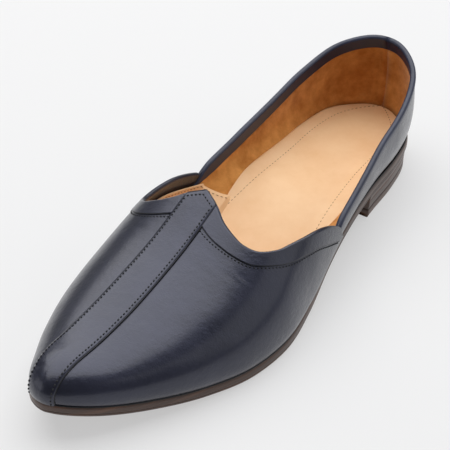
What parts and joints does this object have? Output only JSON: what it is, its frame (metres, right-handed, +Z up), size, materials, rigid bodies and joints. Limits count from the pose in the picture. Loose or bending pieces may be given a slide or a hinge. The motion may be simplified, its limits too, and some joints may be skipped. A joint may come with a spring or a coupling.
{
  "type": "jutti",
  "caption": "Pointed slip-on leather shoe with a centre strip over the vamp, a low cut collar, a thin leather sole and a low heel.",
  "frame": {"origin": "on the floor under the middle of the bounding box", "axes": "toe towards -Y, heel towards +Y, lateral side of the left foot towards +X, +Z up"},
  "size_m": [0.104, 0.3016, 0.0675],
  "materials": {
    "navy_leather": "burnished smooth",
    "navy_strip_leather": "burnished smooth",
    "binding_leather": "smooth",
    "tan_lining_leather": "matt smooth",
    "sole_leather": "stained edge",
    "heel_leather": "stained edge"
  },
  "bodies": {
    "root": {"upper": "navy_leather", "centre_strip": "navy_strip_leather", "vamp_band_lateral": "navy_strip_leather", "vamp_band_medial": "navy_strip_leather", "quarter_binding": "binding_leather", "insole": "tan_lining_leather", "outsole": "sole_leather", "heel_stack": "heel_leather", "heel_top_piece": "heel_leather"}
  },
  "joints": []
}
